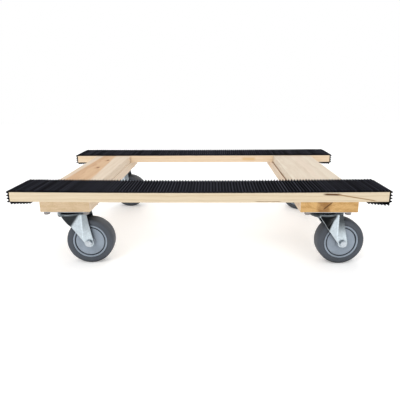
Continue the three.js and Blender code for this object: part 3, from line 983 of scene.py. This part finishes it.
def axle_nut(name, material, place):
    face = LEG_OUTER + GAP
    return hex_piece(name + "_look", AXLE_FLATS, -face - AXLE_NUT, -face, material, place, 21, True)


def axle_bush(name, material, place):
    """The tube between the legs that the wheel turns on."""
    half, eased = LEG_OUTER - SHEET - GAP, 0.4
    side = [(BUSH_BORE, half), (BUSH_RADIUS - eased, half), (BUSH_RADIUS, half - eased)]
    return turned_piece(name, both_sides(side), material, place, 48)


def caster(name, metals):
    """Every piece of one caster, in the places that its joints give."""
    swivel, spin = JOINTS[f"{name}_swivel"], JOINTS[f"{name}_wheel_spin"]
    pivot, axle = Vector(swivel["pos_m"]), Vector(spin["pos_m"])
    trail = (axle - pivot).xy.length / MM
    axle_z = (axle.z - pivot.z) / MM
    fixed = Matrix.Translation(pivot)
    turned = fixed @ Matrix.Rotation(math.atan2(axle.y - pivot.y, axle.x - pivot.x), 4, "Z")
    laid = turned @ Matrix.Translation(Vector((trail, 0, axle_z)) * MM) @ Matrix.Rotation(math.pi / 2, 4, "X")
    fork_body, wheel_body = swivel["child"], spin["child"]
    steel, cage = metals["steel"], metals["cage"]
    look = LEG_PAINTED_LIGHT.get(name, LEG_PAINTED_LIGHT["front_left"])
    hub = turned_plastic(f"{name}_hub_plastic", HUB_GREY, 0.42, spin, 0.3)
    grey = turned_plastic(f"{name}_tyre_rubber", TYRE_GREY, 0.55, spin, 0.45)
    pieces = [  # part, its builder, what the builder needs, body, slot
        ("top_plate", top_plate, (metals["plate"], fixed), BODY, "zinc_plate"),
        ("kingpin", kingpin, (steel, fixed), BODY, "bolt_steel"),
    ]
    for number in range(1, 5):
        needs = (metals["bolt"], pivot.z / MM)
        pieces.append((f"mounting_bolt_{number}", mounting_bolt, needs, BODY, "bolt_steel"))
    pieces += [
        ("ball_race", ball_race, (metals["balls"], cage, turned), fork_body, "race_steel"),
        ("fork", fork_mesh, (metals["fork"], turned, trail, axle_z, look), fork_body, "zinc_fork"),
        ("axle_bolt", axle_bolt, (steel, laid), fork_body, "bolt_steel"),
        ("axle_nut", axle_nut, (steel, laid), fork_body, "bolt_steel"),
        ("axle_bush", axle_bush, (cage, laid), fork_body, "bush_steel"),
        ("wheel_core", turned_piece, (HUB_SECTION, hub, laid, 128), wheel_body, "hub_plastic"),
        ("tyre", turned_piece, (TYRE_SECTION, grey, laid, 144), wheel_body, "grey_tyre"),
    ]
    for part, build, needs, body, slot in pieces:
        node = f"{name}_{part}"
        finish_piece(build(node, *needs), body, slot, node)


# ---- Floor, light and camera ----
FLOOR_HALF = 2600
SKY = (0.0, 0.75, 0.42, 0.86)  # from one height to another, and the strengths there
LAMPS = (  # name, place in metres, size in metres, power in watts
    ("key", (-1.5, -2.2, 2.4), 1.8, 34),
    ("fill", (2.2, -1.8, 1.5), 1.8, 9),
    ("back", (0.4, 2.4, 2.4), 2.2, 26),
)
LAMP_AIM = Vector((0, 0, 0.1))
CAMERA_PLACE = (35.5, -903.1, 380.0)
CAMERA_TURN = (-1.591, 12.596, -0.484)  # yaw, pitch and roll in degrees
LENS = 31.8
SHIFT = (-0.0117, -0.0907)


def floor():
    """A pale floor, which glows a little so that it is as white as the background."""
    net = Nodes(bpy.data.materials.new("floor_paint"))
    speck = net.noise(net.scaled(0.004), 2, 0.5)
    tone = net.mix(speck, (0.93, 0.93, 0.93), (0.96, 0.96, 0.96))
    paint = net.set(Base_Color=tone, Roughness=0.9, Specular_IOR_Level=0.05, Emission_Strength=0.24)
    corners = [(FLOOR_HALF * x, FLOOR_HALF * y, 0) for x, y in ((-1, -1), (1, -1), (1, 1), (-1, 1))]
    add_object("floor", corners, [[0, 1, 2, 3]], paint)


def daylight():
    """A sky that is brighter overhead, and plain white where it is seen directly, and three lamps."""
    world = bpy.data.worlds.new("studio")
    bpy.context.scene.world = world
    net = Nodes(world, "Background")
    sky = net.spread(net.split(net.coordinates["Generated"])["Z"], *SKY, smooth=False)
    seen = net.node("LightPath").outputs["Is Camera Ray"]
    net.set(Color=(1, 1, 1, 1), Strength=net.node("Mix", seen, None, sky, 1.0).outputs[0])
    for name, place, size, power in LAMPS:
        light = bpy.data.lights.new(name, "AREA")
        light.size = size
        light.energy = power
        lamp = new_object(name, light)
        lamp.location = place
        lamp.rotation_euler = (LAMP_AIM - Vector(place)).to_track_quat("-Z", "Y").to_euler()
    bpy.context.scene.view_settings.view_transform = "Standard"


def camera():
    """A wide lens close to the front rail, a little right of the middle, looking slightly down."""
    yaw, pitch, roll = (math.radians(angle) for angle in CAMERA_TURN)
    forward = Vector((math.sin(yaw) * math.cos(pitch), math.cos(yaw) * math.cos(pitch), -math.sin(pitch)))
    right = Vector((math.cos(yaw), -math.sin(yaw), 0))
    up = right.cross(forward)
    across = right * math.cos(roll) + up * math.sin(roll)
    upright = up * math.cos(roll) - right * math.sin(roll)
    lens = bpy.data.cameras.new("camera")
    lens.lens = LENS
    lens.shift_x, lens.shift_y = SHIFT
    view = new_object("camera", lens)
    axes = Matrix((across, upright, -forward)).transposed().to_4x4()
    view.matrix_world = Matrix.Translation(Vector(CAMERA_PLACE) * MM) @ axes
    bpy.context.scene.camera = view


# ---- The dolly ----
FRONT_SAG = 2.0
CROSS_PALE = srgb(224, 207, 187)
GOLD_PALE = srgb(216, 176, 118)
GOLD = srgb(196, 154, 96)
BROWN = srgb(158, 116, 68)
DARK_LINE = srgb(92, 62, 34)
PINE_ENDS = (srgb(222, 196, 152), srgb(206, 178, 134))
BOARDS = {  # what wood() says of each board
    "front_rail": dict(
        along="X", pith=(-205, 60), ring=9.0, early=srgb(223, 207, 180), late=srgb(206, 185, 153), end=PINE_ENDS,
        contrast=0.75, seed=3.1,
        lines=(
            (253, 166.4, 285, 166.0, 3.1, srgb(96, 68, 42), 1.0),
            (281, 165.8, 354, 152.8, 1.9, srgb(160, 130, 92), 0.95),
            (118, 151.8, 167, 151.8, 1.0, srgb(120, 94, 62), 0.8),
        ),
    ),
    "rear_rail": dict(
        along="X", pith=(190, 40), ring=8.0, early=srgb(236, 214, 186), late=srgb(224, 196, 160), end=PINE_ENDS,
        contrast=0.7, seed=8.4,
        lines=((120, 160.5, 158, 160.5, 7.0, srgb(222, 186, 134), 0.75),),
    ),
    "left_crossmember": dict(
        along="Y", pith=(-262, 60), ring=5.5, early=CROSS_PALE, late=srgb(208, 188, 164),
        end=(srgb(212, 188, 156), srgb(203, 178, 143)), contrast=0.45, seed=5.2,
    ),
    "right_crossmember": dict(
        along="Y", pith=(262, 185), ring=4.2, early=CROSS_PALE, late=srgb(204, 180, 154), end=(GOLD_PALE, GOLD),
        heart=(243, 266, BROWN), seed=12.6,
        # a dark strip on the top beside the filler board: a painted shadow in the gap between the boards
        bands=(((210, 213.5), (210, 213.5), 0.7, (srgb(140, 104, 80), srgb(118, 84, 62))),),
        lines=((254, 135.5, 270, 149.8, 2.1, DARK_LINE, 1.0),),
    ),
    "left_filler_board": dict(
        along="Y", pith=(-300, 60), ring=7.5, early=srgb(222, 206, 186), late=srgb(210, 188, 163), end=PINE_ENDS,
        contrast=0.8, seed=1.7,
        knots=(((-269, -9.7, 169), 4.6, srgb(150, 98, 60)), ((-269, 80.6, 169), 4.6, srgb(146, 96, 58))),
        bands=(((-308, -246), (-300, -263), 3.0, (srgb(212, 177, 139), srgb(190, 146, 110))),),
    ),
    "right_filler_board": dict(
        along="Y", pith=(240, 20), ring=8.5, early=srgb(224, 212, 194), late=srgb(207, 189, 168), end=PINE_ENDS,
        contrast=0.7, seed=20.3,
        bands=(((262, 276), (264, 292), 6.0, (srgb(222, 206, 188), srgb(200, 182, 160))),),
    ),
}
METALS = {  # colour, roughness, and what else zinc() needs
    "plate": ("zinc_plate", (0.50, 0.54, 0.58), 0.34),
    "fork": ("zinc_fork", (0.66, 0.745, 0.80), 0.27, 30, True),
    "steel": ("axle_zinc", (0.62, 0.67, 0.72), 0.3, 8),
    "bolt": ("bolt_zinc", (0.30, 0.28, 0.27), 0.36, 12),
    "balls": ("ball_steel", (0.35, 0.36, 0.38), 0.2),
    "cage": ("plain_steel", (0.25, 0.26, 0.28), 0.4),
}


def deck():
    for name, grown in BOARDS.items():
        slot = {"rail": "rail_wood", "crossmember": "crossmember_wood"}.get(name.split("_")[1], "filler_wood")
        sag = FRONT_SAG if name == "front_rail" else 0.0
        material = wood(name.replace("_board", "") + "_wood", **grown)
        finish_piece(board(name, material, sag), BODY, slot, name)
    black = rubber("ribbed_rubber", (0.031, 0.032, 0.042), (0.06, 0.058, 0.06), 0.2, 0.7)
    for end, sag in (("front", FRONT_SAG), ("rear", 0.0)):
        node = f"{end}_tread"
        finish_piece(tread(node, f"{end}_rail", black, sag), BODY, "ribbed_rubber", node)


deck()
metals = {name: zinc(*finish) for name, finish in METALS.items()}
for corner_name in CORNERS:
    caster(corner_name, metals)
floor()
daylight()
camera()
